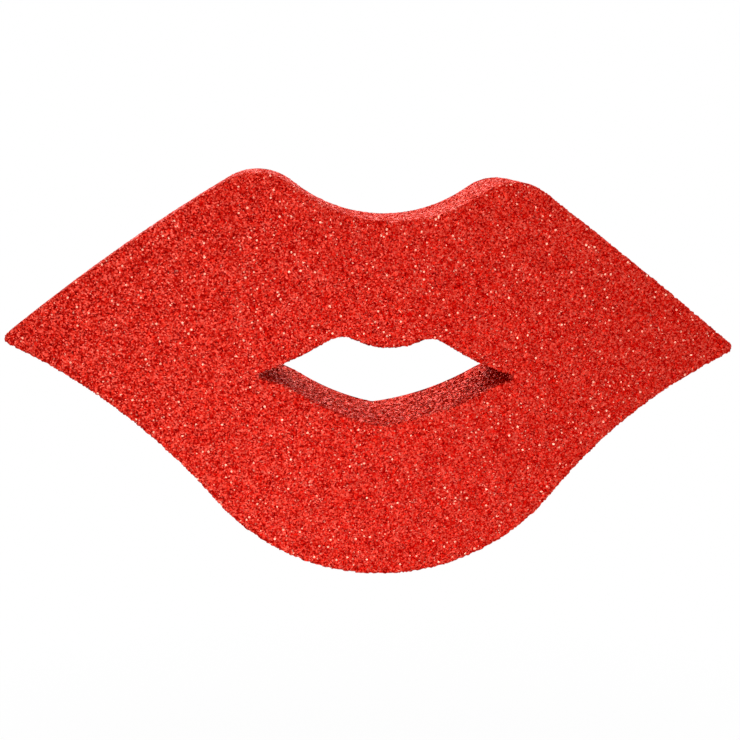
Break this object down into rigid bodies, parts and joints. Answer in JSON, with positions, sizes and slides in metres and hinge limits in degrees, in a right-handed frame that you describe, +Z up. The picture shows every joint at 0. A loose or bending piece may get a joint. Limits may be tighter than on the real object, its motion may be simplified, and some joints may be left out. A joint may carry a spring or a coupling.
{
  "type": "novelty telephone",
  "caption": "Lips-shaped one-piece telephone, glittered in front, open right through at the mouth, with keypad, receiver, hook plunger and wall keyholes on its back.",
  "frame": {"origin": "midway between the round entries of the two wall keyholes, on the outer face of the back cover", "axes": "+X to the right as seen from the front, +Y out of the back towards the wall, +Z up as it hangs"},
  "size_m": [0.2306, 0.046, 0.1297],
  "materials": {
    "glitter": "glued coarse glitter flakes",
    "shell": "moulded ABS",
    "cover": "moulded ABS with a fine texture",
    "keys": "satin moulded keys",
    "function_keys": "satin moulded keys",
    "rubber": "moulded rubber",
    "membrane": "silicone rubber",
    "foam": "closed-cell foam",
    "screws": "bright zinc",
    "steel": "plain steel",
    "can": "drawn can",
    "board": "solder resist",
    "chip": "moulded epoxy",
    "capacitor": "shrink sleeve",
    "capsule": "moulded",
    "knob": "moulded",
    "reed": "clear glass",
    "contacts": "plated wire",
    "lead": "soft PVC"
  },
  "bodies": {
    "case": {"glitter_coat": "glitter", "front_shell": "shell", "back_cover": "cover", "wall_pads": "rubber", "cover_screws": "screws", "keypad_membrane": "membrane", "main_board": "board", "dialler_chip": "chip", "tone_crystal": "can", "capacitors": "capacitor", "bridge_diodes": "chip", "board_screws": "screws", "receiver_capsule": "capsule", "receiver_gasket": "foam", "receiver_bar": "steel", "bar_screws": "screws", "microphone_boot": "rubber", "microphone_capsule": "can", "ringer_capsule": "capsule", "hook_spring": "steel", "hook_board": "board", "reed_switch": "reed", "line_jack": "capsule", "jack_contacts": "contacts", "ballast_left": "steel", "ballast_right": "steel", "receiver_lead": "lead", "microphone_lead": "lead", "ringer_lead": "lead", "line_lead": "lead", "hook_lead": "lead", "ringer_switch": "can", "dial_mode_switch": "can"},
    "key_1": {"key_1": "keys"},
    "key_2": {"key_2": "keys"},
    "key_3": {"key_3": "keys"},
    "key_4": {"key_4": "keys"},
    "key_5": {"key_5": "keys"},
    "key_6": {"key_6": "keys"},
    "key_7": {"key_7": "keys"},
    "key_8": {"key_8": "keys"},
    "key_9": {"key_9": "keys"},
    "key_star": {"key_star": "keys"},
    "key_0": {"key_0": "keys"},
    "key_hash": {"key_hash": "keys"},
    "key_redial": {"key_redial": "function_keys"},
    "key_flash": {"key_flash": "function_keys"},
    "key_mute": {"key_mute": "function_keys"},
    "hook": {"hook_plunger": "knob", "hook_magnet": "can"},
    "ringer_knob": {"ringer_knob": "knob"},
    "dial_mode_knob": {"dial_mode_knob": "knob"}
  },
  "joints": [
    {"name": "key_1_press", "type": "slide", "parent": "case", "child": "key_1", "axis": [0, -1, 0], "range_m": [0, 0.0014], "stiffness_N_per_m": 300, "springref_m": -0.0008},
    {"name": "key_2_press", "type": "slide", "parent": "case", "child": "key_2", "axis": [0, -1, 0], "range_m": [0, 0.0014], "stiffness_N_per_m": 300, "springref_m": -0.0008},
    {"name": "key_3_press", "type": "slide", "parent": "case", "child": "key_3", "axis": [0, -1, 0], "range_m": [0, 0.0014], "stiffness_N_per_m": 300, "springref_m": -0.0008},
    {"name": "key_4_press", "type": "slide", "parent": "case", "child": "key_4", "axis": [0, -1, 0], "range_m": [0, 0.0014], "stiffness_N_per_m": 300, "springref_m": -0.0008},
    {"name": "key_5_press", "type": "slide", "parent": "case", "child": "key_5", "axis": [0, -1, 0], "range_m": [0, 0.0014], "stiffness_N_per_m": 300, "springref_m": -0.0008},
    {"name": "key_6_press", "type": "slide", "parent": "case", "child": "key_6", "axis": [0, -1, 0], "range_m": [0, 0.0014], "stiffness_N_per_m": 300, "springref_m": -0.0008},
    {"name": "key_7_press", "type": "slide", "parent": "case", "child": "key_7", "axis": [0, -1, 0], "range_m": [0, 0.0014], "stiffness_N_per_m": 300, "springref_m": -0.0008},
    {"name": "key_8_press", "type": "slide", "parent": "case", "child": "key_8", "axis": [0, -1, 0], "range_m": [0, 0.0014], "stiffness_N_per_m": 300, "springref_m": -0.0008},
    {"name": "key_9_press", "type": "slide", "parent": "case", "child": "key_9", "axis": [0, -1, 0], "range_m": [0, 0.0014], "stiffness_N_per_m": 300, "springref_m": -0.0008},
    {"name": "key_star_press", "type": "slide", "parent": "case", "child": "key_star", "axis": [0, -1, 0], "range_m": [0, 0.0014], "stiffness_N_per_m": 300, "springref_m": -0.0008},
    {"name": "key_0_press", "type": "slide", "parent": "case", "child": "key_0", "axis": [0, -1, 0], "range_m": [0, 0.0014], "stiffness_N_per_m": 300, "springref_m": -0.0008},
    {"name": "key_hash_press", "type": "slide", "parent": "case", "child": "key_hash", "axis": [0, -1, 0], "range_m": [0, 0.0014], "stiffness_N_per_m": 300, "springref_m": -0.0008},
    {"name": "key_redial_press", "type": "slide", "parent": "case", "child": "key_redial", "axis": [0, -1, 0], "range_m": [0, 0.0014], "stiffness_N_per_m": 300, "springref_m": -0.0008},
    {"name": "key_flash_press", "type": "slide", "parent": "case", "child": "key_flash", "axis": [0, -1, 0], "range_m": [0, 0.0014], "stiffness_N_per_m": 300, "springref_m": -0.0008},
    {"name": "key_mute_press", "type": "slide", "parent": "case", "child": "key_mute", "axis": [0, -1, 0], "range_m": [0, 0.0014], "stiffness_N_per_m": 300, "springref_m": -0.0008},
    {"name": "hook_press", "type": "slide", "parent": "case", "child": "hook", "axis": [0, -1, 0], "range_m": [0, 0.0035], "stiffness_N_per_m": 120, "springref_m": -0.002, "deforming": ["hook_spring"]},
    {"name": "ringer_slide", "type": "slide", "parent": "case", "child": "ringer_knob", "axis": [1, 0, 0], "range_m": [-0.002, 0.002]},
    {"name": "dial_mode_slide", "type": "slide", "parent": "case", "child": "dial_mode_knob", "axis": [1, 0, 0], "range_m": [-0.002, 0.002]}
  ]
}
